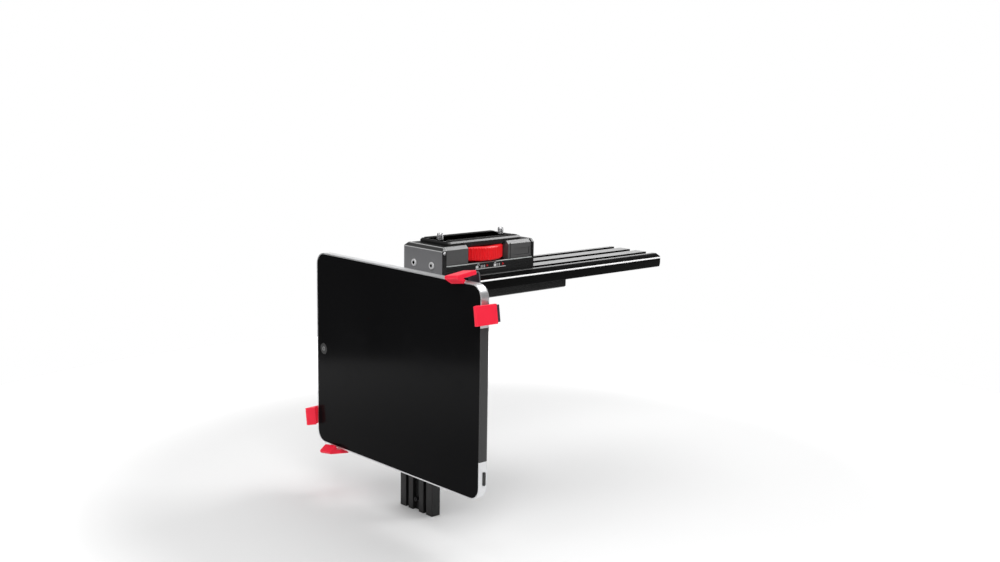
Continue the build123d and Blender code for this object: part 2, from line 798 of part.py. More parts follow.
def make_sleeve(name, half_turn, which):
    """Rubber sleeve over a clip, from just past its back bend to beyond its tip."""
    outward, edge = clip_edges(half_turn)[which]
    bend, peak, tip = (Vector(*point) for point in clip_points(edge)[1:])
    start = bend + (peak - bend).normalized() * sleeve_start
    end = tip + (tip - peak).normalized() * sleeve_wall
    rubber = hook(Line(start, peak), peak, end, sheet + 2 * sleeve_wall)
    inside = sheet_outline(edge)
    with BuildPart() as sleeve:
        with BuildSketch(clip_plane(half_turn, outward, -sleeve_width / 2)):
            add(rubber)
        extrude(amount=sleeve_width)
        with BuildSketch(clip_plane(half_turn, outward, -clip_width / 2)):
            add(inside)
        extrude(amount=clip_width, mode=Mode.SUBTRACT)
    save(sleeve, name)


def make_lock_knob(name, half_turn):
    """Low knurled screw behind the spine; its stem presses on the arm inside."""
    with BuildPart() as knob:
        with BuildSketch(diagonal(spine_back + gap)):
            with Locations((half_turn * lock_reach, 0)):
                Circle(lock_r)
                with PolarLocations(lock_r + 0.3, 24):
                    Circle(0.8, mode=Mode.SUBTRACT)
        extrude(amount=-lock_high)
        with BuildSketch(diagonal(spine_back + gap)):
            with Locations((half_turn * lock_reach, 0)):
                Circle(2)
        extrude(amount=sheet + gap + 0.1)
    save(knob, name)


# ---- tablet -------------------------------------------------------------------
corner_r = 12
rim = 1.2
back_inset = 15
glass_thick = 1.8
window_z_low, window_z_high = centre_z - 59.5, centre_z + 58
window_wall = 3.4


def back_outline(depth):
    """Half-size lost at each side, at a depth behind the straight edge."""
    share = depth / (tablet_depth - side_depth)
    return back_inset * (1 - sqrt(max(0, 1 - share ** 2)))


# Openings in the tablet's edge for its sockets, buttons and tray are the boxes below.
edge_y = tablet_front + 5.6
jack_z, jack_r = centre_z + 70, 2.9
sleep_z, sleep_long = centre_z - 75, 12
volume_x, volume_long = 78, 22
mute_x, mute_long, mute_slot = 98, 4, 6.5
tray_x, tray_long = -8, 13
key_thick = 2.8
half_w, half_h = tablet_width / 2, tablet_height / 2
bottom_z, top_z = centre_z - half_h, centre_z + half_h
port_boxes = (
    (half_w, edge_y, sleep_z, 9, key_thick + 0.4, sleep_long + 0.4),
    (volume_x, edge_y, bottom_z, volume_long + 1, key_thick + 0.4, 9),
    (mute_x, edge_y, bottom_z, mute_slot, key_thick + 0.4, 9),
    (tray_x, edge_y, top_z, tray_long + 0.4, 1.8, 40),
    (-half_w, edge_y, centre_z, 12, 3.4, 27),
    (-half_w, edge_y, centre_z - 48, 12, 2.6, 24),
)


def make_tablet_shell():
    steps = 5
    back_depth = tablet_depth - side_depth
    edge_back = tablet_front + side_depth
    with BuildPart() as shell:
        with BuildSketch(facing_talent(edge_back)):
            with Locations((0, centre_z)):
                RectangleRounded(tablet_width, tablet_height, corner_r)
        extrude(amount=side_depth)
        for step in range(steps):
            near = back_depth * sin(radians(90 * step / steps))
            far = back_depth * sin(radians(90 * (step + 1) / steps))
            for depth in (near, far):
                with BuildSketch(facing_talent(edge_back + depth)):
                    with Locations((0, centre_z)):
                        RectangleRounded(
                            tablet_width - 2 * back_outline(depth),
                            tablet_height - 2 * back_outline(depth), corner_r,
                        )
            loft(ruled=True)
        with BuildSketch(facing_talent(tablet_front + glass_thick)):
            with Locations((0, centre_z)):
                RectangleRounded(tablet_width - 2 * rim, tablet_height - 2 * rim, corner_r - rim)
        extrude(amount=glass_thick, mode=Mode.SUBTRACT)
        inner = 2 * window_wall
        with BuildSketch(facing_talent(edge_back)):
            with Locations((0, centre_z)):
                RectangleRounded(tablet_width - inner, tablet_height - inner, corner_r - 3)
        extrude(amount=side_depth, mode=Mode.SUBTRACT)
        with BuildSketch(facing_talent(tablet_back - 1.4)):
            with Locations((0, centre_z)):
                RectangleRounded(tablet_width - 22, tablet_height - 22, corner_r - 3)
        extrude(amount=back_depth, mode=Mode.SUBTRACT)
        with Locations((half_w, tablet_front + 5.5, (window_z_low + window_z_high) / 2)):
            Box(2 * window_wall - 0.1, 11, window_z_high - window_z_low, mode=Mode.SUBTRACT)
        for x, y, z, wide, deep, high in port_boxes:
            with Locations((x, y, z)):
                Box(wide, deep, high, mode=Mode.SUBTRACT)
        with Locations(Location((half_w - 6, edge_y, jack_z), (0, 90, 0))):
            Cylinder(jack_r, 20, mode=Mode.SUBTRACT)
    save(shell, "tablet_shell")


def make_antenna_window():
    """Plastic insert in the tablet's right edge, with the same outline as the shell."""
    steps = 4
    back_depth = 11 - side_depth
    edge_back = tablet_front + side_depth
    with BuildPart() as window:
        with BuildSketch(Plane.XY.offset(window_z_low)):
            with BuildLine():
                outer = [(half_w, tablet_front)]
                for step in range(steps + 1):
                    depth = back_depth * step / steps
                    outer.append((half_w - back_outline(depth), edge_back + depth))
                inner_x = half_w - window_wall + 0.1
                inner_corner = [(inner_x, edge_back + back_depth), (inner_x, tablet_front + glass_thick)]
                rim_corner = [(half_w - rim, tablet_front + glass_thick),
                              (half_w - rim, tablet_front)]
                Polyline(*outer, *inner_corner, *rim_corner, close=True)
            make_face()
        extrude(amount=window_z_high - window_z_low)
    save(window, "tablet_antenna_window")


home_x, home_r = -half_w + 10.4, 5.4


def make_tablet_front():
    with BuildPart() as glass:
        with BuildSketch(facing_talent(tablet_front + glass_thick)):
            with Locations((0, centre_z)):
                RectangleRounded(tablet_width - 2 * rim, tablet_height - 2 * rim, corner_r - rim)
            with Locations((home_x, centre_z)):
                Circle(home_r + 0.3, mode=Mode.SUBTRACT)
        extrude(amount=glass_thick)
    save(glass, "tablet_glass")
    with BuildPart() as button:
        with BuildSketch(facing_talent(tablet_front + 2.6)):
            with Locations((home_x, centre_z)):
                Circle(home_r)
        extrude(amount=2.3)
    save(button, "tablet_home_button")
    with BuildPart() as display:
        with Locations((0, tablet_front + 3.6, centre_z)):
            Box(204, 2.6, 155)
    save(display, "tablet_display")


def make_tablet_insides():
    with BuildPart() as battery:
        with Locations(*[(x, tablet_front + 8.4, centre_z) for x in (-50, 50)]):
            Box(92, 5.4, 120)
        fillet(battery.edges().filter_by(Axis.Y), 3)
    save(battery, "tablet_battery")
    with BuildPart() as board:
        with Locations((0, tablet_front + 8, centre_z - 71)):
            Box(150, 1.2, 14)
        with Locations(*[(x, tablet_front + 9.1, centre_z - 71) for x in (-45, -10, 30)]):
            Box(14, 1, 11)
    save(board, "tablet_logic_board")
    with BuildPart() as jack:
        with Locations(Location((half_w - 7, edge_y, jack_z), (0, 90, 0))):
            Cylinder(jack_r - 0.1, 13)
            Cylinder(1.8, 13, mode=Mode.SUBTRACT)
    save(jack, "tablet_headphone_jack")
    with BuildPart() as dock:
        with Locations((-half_w + 3.2, edge_y, centre_z)):
            Box(5.4, 3.2, 26.8)
        with Locations((-half_w + 2, edge_y, centre_z)):
            Box(4, 2.2, 24, mode=Mode.SUBTRACT)
        with Locations((-half_w + 3, edge_y, centre_z)):
            Box(3, 0.7, 22)
    save(dock, "tablet_dock_connector")
    with BuildPart() as speaker:
        with Locations((-half_w + 3, edge_y, centre_z - 48)):
            Box(5, 2.4, 23.8)
    save(speaker, "tablet_speaker")


def make_tablet_keys():
    with BuildPart() as sleep:
        with Locations((half_w - 0.6, edge_y, sleep_z)):
            Box(2.6, key_thick, sleep_long)
        fillet(sleep.edges().filter_by(Axis.X), 1.2)
    save(sleep, "tablet_sleep_button")
    with BuildPart() as volume:
        with Locations((volume_x, edge_y, bottom_z + 0.6)):
            Box(volume_long, key_thick, 2.6)
        fillet(volume.edges().filter_by(Axis.Z), 1.2)
    save(volume, "tablet_volume_rocker")
    with BuildPart() as mute:
        with Locations((mute_x - 1, edge_y, bottom_z + 0.7)):
            Box(mute_long, key_thick - 0.4, 2.6)
        fillet(mute.edges().filter_by(Axis.Z), 0.8)
    save(mute, "tablet_mute_switch")
    with BuildPart() as tray:
        with Locations((tray_x, edge_y, top_z - 6.6)):
            Box(tray_long, 1.4, 13)
        with Locations((tray_x, edge_y, top_z - 7.4)):
            Box(tray_long - 3, 2, 9, mode=Mode.SUBTRACT)
    save(tray, "tablet_sim_tray")


# ---- everything ---------------------------------------------------------------
make_rail()
make_foot()
cap_screws("foot_screws", Plane.XY.offset(foot_screw_room).rotated((180, 0, 0)),
           [(x, -y) for x, y in foot_screw_spots], 4.4, 4.8, 2.5,
           foot_height - foot_screw_room + screw_bite)
make_post()
make_post_bracket()
make_post_bracket_screws()
make_stop_screws()

make_base_plate()
make_guide_strips()
cap_screws("base_screws", Plane.XY.offset(riser_low + base_head_room).rotated((180, 0, 0)),
           [(x, -y) for x, y in base_screw_spots], base_head_r, 4, 2, 13)
make_block("front_block", block_front, window_front, camera_screw_ys[0])
make_block("rear_block", window_rear, block_rear, camera_screw_ys[1])
make_front_plate()
cap_screws("front_plate_screws", facing_talent(riser_front + 2.6),
           [(x, plate_screw_z) for x in (-plate_screw_x, plate_screw_x)], 3.5, 3.4, 2, 7)
make_release_button()
make_rear_plate()
cap_screws("rear_plate_screws", facing_talent(riser_rear).rotated((180, 0, 0)),
           [(x, -plate_screw_z) for x in (-plate_screw_x, plate_screw_x)], 3.5, 2.4, 2, 7)
make_top_plate()
cap_screws("top_plate_screws", Plane.XY.offset(roof_top - roof_screw_room), roof_screw_spots,
           3.7, 2.2, 2, 7)
make_camera_pads()
make_wheel_washer()
make_thumbwheel()
make_clamp_bolt()
for name, y in zip(("front_camera_screw", "rear_camera_screw"), camera_screw_ys):
    make_camera_screw(name, y)

make_carriage()
make_carriage_knob()
make_friction_washer()
make_pivot_screw()

make_spine()
make_spine_pads()
for place, half_turn in (("upper", 1), ("lower", -1)):
    turn = 0 if half_turn > 0 else 180
    make_arm(f"{place}_arm", turn)
    make_rivet(f"{place}_rivet", turn)
    make_bracket(f"{place}_bracket", half_turn)
    make_lock_knob(f"{place}_lock_knob", half_turn)
make_sleeve("right_sleeve", 1, 0)
make_sleeve("top_sleeve", 1, 1)
make_sleeve("left_sleeve", -1, 0)
make_sleeve("bottom_sleeve", -1, 1)

make_tablet_shell()
make_antenna_window()
make_tablet_front()
make_tablet_insides()
make_tablet_keys()
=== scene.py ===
import json
from contextlib import contextmanager
from math import cos, pi, radians, sin

import bmesh
import bpy
from mathutils import Matrix, Vector


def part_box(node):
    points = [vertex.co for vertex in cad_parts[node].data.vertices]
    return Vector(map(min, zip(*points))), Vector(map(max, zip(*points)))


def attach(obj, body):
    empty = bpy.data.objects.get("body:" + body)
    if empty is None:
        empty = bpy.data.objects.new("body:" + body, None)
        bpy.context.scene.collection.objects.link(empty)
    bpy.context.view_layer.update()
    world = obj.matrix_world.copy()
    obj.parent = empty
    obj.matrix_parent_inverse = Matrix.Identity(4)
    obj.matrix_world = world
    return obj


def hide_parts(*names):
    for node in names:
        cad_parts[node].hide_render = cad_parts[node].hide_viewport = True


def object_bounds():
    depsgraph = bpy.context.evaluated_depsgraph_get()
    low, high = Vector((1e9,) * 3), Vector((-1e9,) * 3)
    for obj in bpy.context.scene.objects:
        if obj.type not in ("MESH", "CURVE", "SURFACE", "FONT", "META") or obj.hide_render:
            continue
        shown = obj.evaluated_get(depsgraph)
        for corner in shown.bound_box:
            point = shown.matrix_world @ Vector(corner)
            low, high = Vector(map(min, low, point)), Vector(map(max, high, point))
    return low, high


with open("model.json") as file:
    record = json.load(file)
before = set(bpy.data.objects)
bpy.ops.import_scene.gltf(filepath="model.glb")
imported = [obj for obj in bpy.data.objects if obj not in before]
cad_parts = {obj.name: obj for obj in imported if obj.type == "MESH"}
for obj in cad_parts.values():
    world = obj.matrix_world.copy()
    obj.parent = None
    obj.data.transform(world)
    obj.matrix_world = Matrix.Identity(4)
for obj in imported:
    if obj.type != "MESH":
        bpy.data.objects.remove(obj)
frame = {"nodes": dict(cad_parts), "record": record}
cadLow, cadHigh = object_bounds()
nodes = frame["nodes"]
mm = 0.001
print("frame loaded,", len(nodes), "nodes")


# camera: in front of the tablet and to its right, a little above the riser
view = {"place": (0.916, -0.844, 0.217), "azimuth": 47.6, "elevation": 9.57, "roll": 0.93,
        "lens": 46.4, "near": 0.05}


def addCamera():
    azimuth, elevation, roll = (radians(view[k]) for k in ("azimuth", "elevation", "roll"))
    back = Vector((sin(azimuth) * cos(elevation), -cos(azimuth) * cos(elevation), sin(elevation)))
    right = Vector((cos(azimuth), sin(azimuth), 0))
    up = back.cross(right)
    turnedRight = cos(roll) * right + sin(roll) * up
    turnedUp = cos(roll) * up - sin(roll) * right
    bpy.ops.object.camera_add()
    camera = bpy.context.object
    columns = Matrix((turnedRight, turnedUp, back)).transposed().to_4x4()
    camera.matrix_world = Matrix.Translation(view["place"]) @ columns
    camera.data.lens = view["lens"]
    camera.data.clip_start = view["near"]
    bpy.context.scene.camera = camera


addCamera()
print("camera placed")


# ways of working on a mesh
def leaveAll():
    for thing in bpy.context.selected_objects:
        thing.select_set(False)


def takeUp(piece):
    leaveAll()
    piece.select_set(True)
    bpy.context.view_layer.objects.active = piece


@contextmanager
def editing(piece):
    takeUp(piece)
    bpy.ops.object.mode_set(mode="EDIT")
    yield
    bpy.ops.object.mode_set(mode="OBJECT")


def pickFaces(piece, test):
    # selects the faces whose middle and normal pass the test
    mesh = bmesh.from_edit_mesh(piece.data)
    for part in (*mesh.verts, *mesh.edges, *mesh.faces):
        part.select_set(False)
    for face in mesh.faces:
        if test(face.calc_center_median(), face.normal):
            face.select_set(True)
    bmesh.update_edit_mesh(piece.data)


def pickRims(piece):
    # selects the edges that have a face on one side only
    mesh = bmesh.from_edit_mesh(piece.data)
    for part in (*mesh.verts, *mesh.edges, *mesh.faces):
        part.select_set(False)
    for edge in mesh.edges:
        if edge.is_boundary:
            edge.select_set(True)
    bmesh.update_edit_mesh(piece.data)


def modify(piece, kind, **settings):
    takeUp(piece)
    modifier = piece.modifiers.new(kind.title(), kind)
    for setting, value in settings.items():
        setattr(modifier, setting, value)
    bpy.ops.object.modifier_apply(modifier=modifier.name)


def settle(piece):
    # place, turn and scale go into the mesh, and faces are turned outwards
    takeUp(piece)
    bpy.ops.object.transform_apply(location=True, rotation=True, scale=True)
    with editing(piece):
        bpy.ops.mesh.select_all(action="SELECT")
        bpy.ops.mesh.remove_doubles(threshold=1e-6)
        bpy.ops.mesh.normals_make_consistent(inside=False)


def smoothen(piece, angle=35):
    takeUp(piece)
    bpy.ops.object.shade_smooth_by_angle(angle=radians(angle))


def joinAll(pieces, name):
    takeUp(pieces[0])
    for piece in pieces:
        piece.select_set(True)
    if len(pieces) > 1:
        bpy.ops.object.join()
    joined = bpy.context.object
    joined.name = name
    return joined


def finishPiece(piece, body, slotName, *materials, replaced=()):
    piece.data.materials.clear()
    for material in materials:
        piece.data.materials.append(material)
    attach(piece, body)
    if replaced:
        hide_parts(*replaced)
    return piece


# materials: a wire is one socket, so that shader maths is written as plain arithmetic
class Wire:
    def __init__(self, finish, socket):
        self.finish = finish
        self.socket = socket

    def __add__(self, other):
        return self.finish.maths("ADD", self, other)

    def __sub__(self, other):
        return self.finish.maths("SUBTRACT", self, other)

    def __rsub__(self, other):
        return self.finish.maths("SUBTRACT", other, self)

    def __mul__(self, other):
        return self.finish.maths("MULTIPLY", self, other)

    def __abs__(self):
        return self.finish.maths("ABSOLUTE", self)

    __radd__ = __add__
    __rmul__ = __mul__


class Finish:
    def __init__(self, name, **fixed):
        self.material = bpy.data.materials.new(name)
        self.material.use_nodes = True
        self.tree = self.material.node_tree
        self.shader = self.tree.nodes["Principled BSDF"]
        self.coords = self.node("TexCoord", output="Object")
        for socket, value in fixed.items():
            self.feed(socket, value)

    def node(self, kind, settings=None, inputs=None, output=0):
        made = self.tree.nodes.new("ShaderNode" + kind)
        for name, value in (settings or {}).items():
            setattr(made, name, value)
        for name, value in (inputs or {}).items():
            self.join(value, made.inputs[name])
        return Wire(self, made.outputs[output])

    def join(self, value, socket):
        if isinstance(value, Wire):
            self.tree.links.new(value.socket, socket)
        else:
            socket.default_value = value

    def feed(self, name, value):
        # base_color="..." stands for the shader's Base Color socket, and so on
        self.join(value, self.shader.inputs[name.replace("_", " ")])

    def maths(self, operation, *values):
        return self.node("Math", {"operation": operation}, dict(enumerate(values)))

    def mix(self, share, low, high):
        inputs = {0: share, 6: low, 7: high}
        return self.node("Mix", {"data_type": "RGBA"}, inputs, output=2)

    def noise(self, scale, detail=3.0, roughness=0.5, stretch=None):
        where = self.coords
        if stretch:
            where = self.node("Mapping", {}, {"Vector": self.coords, "Scale": stretch})
        inputs = {"Vector": where, "Scale": scale, "Detail": detail, "Roughness": roughness}
        return self.node("TexNoise", {}, inputs)

    def smooth(self, value, low, high):
        inputs = {"Value": value, "From Min": low, "From Max": high}
        return self.node("MapRange", {"interpolation_type": "SMOOTHSTEP"}, inputs)

    def axis(self, which):
        return self.node("SeparateXYZ", {}, {0: self.coords}, output=which)

    def bump(self, height, strength, distance):
        inputs = {"Height": height, "Strength": strength, "Distance": distance}
        self.feed("Normal", self.node("Bump", {}, inputs))


def colour(red, green=None, blue=None):
    # a screen colour from 0 to 255, as the shader wants it
    channels = (red, red if green is None else green, red if blue is None else blue)
    linear = [(c / 255 / 12.92) if c < 11 else ((c / 255 + 0.055) / 1.055) ** 2.4 for c in channels]
    return (*linear, 1.0)


anodised = {"dieLines": 0.004, "streak": 0.05, "cloudy": 0.08}
# the rail's painted highlight: a light band along each shoulder, with its width and drop below the top in
# millimetres, its colour and its sheen
shoulderHighlight = {"width": 1.15, "below": 3.3, "shade": 250, "roughness": 0.42, "metallic": 0.05}


def makeAnodised(name, along, dark, light, roughness, specular=0.3, paintedShoulderHighlight=False):
    # black anodised extrusion: die lines run along one axis, over a very fine etched grain
    finish = Finish(name, Specular_IOR_Level=specular)
    stretch = [1.0, 1.0, 1.0]
    stretch[along] = anodised["dieLines"]
    lines = finish.noise(900.0, 4.0, 0.7, stretch)
    cloud = finish.noise(28.0, 3.0)
    grain = finish.noise(5200.0, 1.0)
    base = finish.mix(lines * 0.6 + cloud * 0.4, colour(dark), colour(light))
    rough = roughness + (lines - 0.5) * anodised["streak"] + (cloud - 0.5) * anodised["cloudy"]
    metal = 0.0
    if paintedShoulderHighlight:  # a painted highlight: a bright line along both upper edges
        x, z = abs(finish.axis("X")), finish.axis("Z")
        top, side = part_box("rail")[1], shoulderHighlight["width"] * mm
        highlightBand = finish.smooth(x, top.x - side, top.x - side * 0.6)
        low = top.z - shoulderHighlight["below"] * mm
        highlightBand = highlightBand * finish.smooth(z, low - side, low - side * 0.7)
        highlightBand = highlightBand * (1 - finish.smooth(z, low + side * 0.7, low + side))
        base = finish.mix(highlightBand, base, colour(shoulderHighlight["shade"]))
        rough = rough * (1 - highlightBand) + shoulderHighlight["roughness"] * highlightBand
        metal = highlightBand * shoulderHighlight["metallic"]
    finish.feed("Base Color", base)
    finish.feed("Roughness", rough)
    finish.feed("Metallic", metal)
    finish.bump(lines + grain * 0.35, 0.06, 0.00008)
    return finish.material


def makeSatin(name, shade, roughness, speckle=0.1, metallic=0.0, specular=0.5):
    # machined and blasted metal with a soft, slightly uneven sheen
    finish = Finish(name, Specular_IOR_Level=specular, Metallic=metallic)
    cloud = finish.noise(35.0, 4.0, 0.6)
    grain = finish.noise(3800.0, 2.0)
    low = tuple(c * (1 - speckle) for c in shade[:3]) + (1.0,)
    high = tuple(min(c * (1 + speckle), 1.0) for c in shade[:3]) + (1.0,)
    finish.feed("Base Color", finish.mix(cloud * 0.7 + grain * 0.3, low, high))
    finish.feed("Roughness", roughness + (cloud - 0.5) * 0.12)
    finish.bump(grain, 0.1, 0.00006)
    return finish.material


def makeTurned(name, shade, roughness, metallic=1.0):
    # turned steel: fine rings all round, and a few handling marks
    finish = Finish(name)
    rings = finish.noise(2600.0, 2.0, 0.6)
    scuffs = finish.smooth(finish.noise(160.0, 5.0, 0.7), 0.62, 0.75)
    low = tuple(c * 0.7 for c in shade[:3]) + (1.0,)
    finish.feed("Base Color", finish.mix(rings, low, shade))
    finish.feed("Metallic", metallic)
    finish.feed("Roughness", roughness + rings * 0.12 + scuffs * 0.12)
    finish.bump(rings, 0.15, 0.00005)
    return finish.material


def makeRedMetal():
    # red anodised aluminium with a slightly cloudy dye
    finish = Finish("redAnodised", Specular_IOR_Level=0.5)
    cloud = finish.noise(60.0, 3.0)
    grain = finish.noise(4200.0, 2.0)
    finish.feed("Base Color", finish.mix(cloud, colour(232, 8, 20), colour(255, 22, 34)))
    finish.feed("Roughness", 0.3 + (cloud - 0.5) * 0.15 + grain * 0.05)
    finish.feed("Metallic", 0.08)
    finish.bump(grain, 0.12, 0.00006)
    return finish.material


def makeRubber(name, low, high, roughness, pits=1.0):
    # moulded rubber: soft sheen, faint flow marks and a fine matt skin
    finish = Finish(name, Specular_IOR_Level=0.35)
    flow = finish.noise(45.0, 3.0, 0.55)
    skin = finish.noise(2400.0, 3.0, 0.6)
    dust = finish.smooth(finish.noise(420.0, 4.0, 0.75), 0.6, 0.78)
    finish.feed("Base Color", finish.mix(flow * 0.8 + dust * 0.2, low, high))
    finish.feed("Roughness", roughness + (flow - 0.5) * 0.16 + dust * 0.08)
    finish.bump(skin + flow * 0.5, 0.16 * pits, 0.00018)
    return finish.material


def makeSheetSteel():
    # dark plated spring sheet: rolled lines and a cool, cloudy sheen
    finish = Finish("darkSheet", Specular_IOR_Level=0.5)
    rolled = finish.noise(700.0, 3.0, 0.6, (1.0, 1.0, 0.03))
    cloud = finish.noise(22.0, 4.0, 0.6)
    plating = rolled * 0.4 + cloud * 0.6
    finish.feed("Base Color", finish.mix(plating, colour(62, 61, 70), colour(104, 103, 116)))
    finish.feed("Metallic", 0.75)
    finish.feed("Roughness", 0.34 + (cloud - 0.5) * 0.2 + rolled * 0.06)
    finish.bump(rolled, 0.08, 0.0001)
    return finish.material


def makePlastic(name, shade, roughness, texture):
    # moulded plastic with a spark-eroded grain
    finish = Finish(name, Specular_IOR_Level=0.45)
    grid = {"Vector": finish.coords, "Scale": 1500.0}
    cells = finish.node("TexVoronoi", {}, grid, output="Distance")
    cloud = finish.noise(50.0, 3.0)
    high = tuple(min(c * 1.5 + 0.004, 1.0) for c in shade[:3]) + (1.0,)
    finish.feed("Base Color", finish.mix(cloud * 0.6 + cells * 0.3, shade, high))
    finish.feed("Roughness", roughness + (cloud - 0.5) * 0.12)
    finish.bump(cells, texture, 0.00012)
    return finish.material


def makeBlasted():
    # the tablet's shell: bead-blasted bright aluminium
    finish = Finish("blastedAluminium", Specular_IOR_Level=0.5)
    beads = finish.noise(5200.0, 2.0, 0.6)
    cloud = finish.noise(12.0, 2.0)
    frost = cloud * 0.5 + beads * 0.5
    finish.feed("Base Color", finish.mix(frost, colour(214, 215, 217), colour(238, 238, 239)))
    finish.feed("Metallic", 0.9)
    finish.feed("Roughness", 0.36 + (cloud - 0.5) * 0.08 + beads * 0.06)
    finish.bump(beads, 0.14, 0.00006)
    return finish.material


def makeGlass():
    # black-backed cover glass with faint wiping marks
    finish = Finish("blackGlass", Specular_IOR_Level=0.03)
    wipe = finish.noise(9.0, 4.0, 0.55, (1.0, 1.0, 0.35))
    smear = finish.smooth(finish.noise(46.0, 5.0, 0.6), 0.5, 0.8)
    finish.feed("Base Color", finish.mix(wipe, colour(12, 12, 13), colour(19, 19, 20)))
    finish.feed("Roughness", 0.09 + wipe * 0.06 + smear * 0.08)
    return finish.material


def makeBoard():
    # circuit board: green solder mask with gilt tracks
    finish = Finish("circuitBoard")
    tracks = finish.node("TexBrick", {}, {"Vector": finish.coords, "Scale": 420.0}, output="Fac")
    cloud = finish.noise(90.0, 2.0)
    green = finish.mix(cloud, (0.01, 0.09, 0.03, 1), (0.02, 0.16, 0.06, 1))
    finish.feed("Base Color", finish.mix(tracks, green, (0.25, 0.2, 0.07, 1)))
    finish.feed("Roughness", 0.35 + cloud * 0.2)
    return finish.material


# the front plate's slope, heights in millimetres: painted shade, with painted highlights along its lower
# and upper corners
slope = {"low": 47.8, "high": 51.4, "slopeHighlight": 0.75, "dark": 58, "bright": 205}


def makeSlope():
    # the front plate's upper edge: painted shade, with a painted highlight along each of its two corners
    finish = Finish("shadedSlope", Specular_IOR_Level=0.2)
    z, cloud = finish.axis("Z"), finish.noise(35.0, 4.0, 0.6)
    slopeHighlight = 1 - finish.smooth(z, slope["low"] * mm, (slope["low"] + slope["slopeHighlight"]) * mm)
    slopeHighlight = slopeHighlight + finish.smooth(z, (slope["high"] - slope["slopeHighlight"]) * mm, slope["high"] * mm)
    finish.feed("Base Color", finish.mix(slopeHighlight, colour(slope["dark"]), colour(slope["bright"])))
    finish.feed("Roughness", 0.4 + (cloud - 0.5) * 0.12)
    return finish.material


# the rail: near-black anodising, with a painted highlight along its shoulders
railBlack = makeAnodised("railBlack", 1, 4, 9, 0.26, 0.02, paintedShoulderHighlight=True)
# painted reflection: the rail's black top lands coloured light grey
railTopReflection = makeAnodised("railTopReflection", 1, 88, 116, 0.22, 0.6)
postBlack = makeAnodised("postBlack", 2, 22, 36, 0.3)
plateBlack = makeAnodised("plateBlack", 1, 20, 32, 0.26)
# painted reflection: the gloss black blocks coloured mid-grey
blockReflectionGrey = makeSatin("blockReflectionGrey", colour(80), 0.3, 0.12, 0.0, 0.7)
plateGrey = makeSatin("plateGrey", colour(122, 122, 124), 0.36, 0.1, 0.0, 0.6)
roofBlack = makeSatin("roofBlack", colour(26), 0.22, 0.2, 0.0, 0.6)
endBlack = makeSatin("endBlack", colour(20), 0.25, 0.2, 0.0, 0.6)
screwSteel = makeTurned("screwSteel", colour(220, 220, 222), 0.16)
brightHead = makeTurned("brightHead", colour(240, 240, 241), 0.32, 0.3)
screwBlack = makeTurned("screwBlack", colour(46, 46, 48), 0.3, 0.6)
cutEdge = makeTurned("cutEdge", colour(205, 206, 212), 0.26)
darkSheet = makeSheetSteel()
redMetal = makeRedMetal()
redRubber = makeRubber("redRubber", colour(255, 30, 60), colour(255, 44, 72), 0.46)
blackRubber = makeRubber("blackRubber", colour(24), colour(38), 0.6, 2.0)
nylon = makePlastic("nylon", colour(40), 0.5, 0.1)
knobPlastic = makePlastic("knobPlastic", colour(34), 0.42, 0.3)
keyPlastic = makePlastic("keyPlastic", colour(24), 0.3, 0.06)
windowPlastic = makePlastic("windowPlastic", colour(42), 0.38, 0.06)
blasted = makeBlasted()
blackGlass = makeGlass()
socketSteel = makeTurned("socketSteel", colour(120), 0.35)
darkPanel = makeSatin("darkPanel", colour(30), 0.2, 0.1)
foilPouch = makeSatin("foilPouch", colour(150, 150, 154), 0.3, 0.08, 0.6)
board = makeBoard()
shadedSlope = makeSlope()
# painted shade: a darker copy of the riser's finish for its tops
shadedTop = makeSatin("shadedTop", colour(24), 0.45, 0.2, 0.0, 0.06)
rimHighlight = makeSatin("rimHighlight", colour(246, 246, 247), 0.3, 0.03, 0.3)
baseEdgeHighlight = makeSatin("baseEdgeHighlight", colour(118, 124, 122), 0.35, 0.15)
# painted highlight for the front plate's bevels
plateEdgeHighlight = makeSatin("plateEdgeHighlight", colour(196, 200, 199), 0.3, 0.1)
socketShade = makeSatin("socketShade", colour(16), 0.4, 0.2, 0.0, 0.3)
paintWhite = makeRubber("paintWhite", colour(205), colour(235), 0.5, 0.4)
paintRed = makeRubber("paintRed", colour(190, 12, 24), colour(228, 20, 34), 0.5, 0.4)
print("materials made")


# machined and moulded parts: each is a copy of the frame's part with its edges broken
def bodyOf(node):
    return next(name for name, members in frame["record"]["behaviour"]["bodies"].items() if node in members)


merge = {"near": 2e-6, "flat": 0.6}  # vertices this close are one, faces this flat (degrees) are joined


def refine(node, slotName, material, edge, steps=2, sharp=28, smoothAngle=32):
    piece = bpy.data.objects.new(node + "_finished", nodes[node].data.copy())
    bpy.context.scene.collection.objects.link(piece)
    with editing(piece):
        bpy.ops.mesh.select_all(action="SELECT")
        bpy.ops.mesh.customdata_custom_splitnormals_clear()
        bpy.ops.mesh.remove_doubles(threshold=merge["near"])
        bpy.ops.mesh.dissolve_limited(angle_limit=radians(merge["flat"]))
    modify(piece, "BEVEL", width=edge * mm, segments=steps, limit_method="ANGLE",
           angle_limit=radians(sharp), miter_outer="MITER_ARC", use_clamp_overlap=True,
           loop_slide=True)
    smoothen(piece, smoothAngle)
    modify(piece, "WEIGHTED_NORMAL", keep_sharp=True, weight=80)
    return finishPiece(piece, bodyOf(node), slotName, material, replaced=[node])


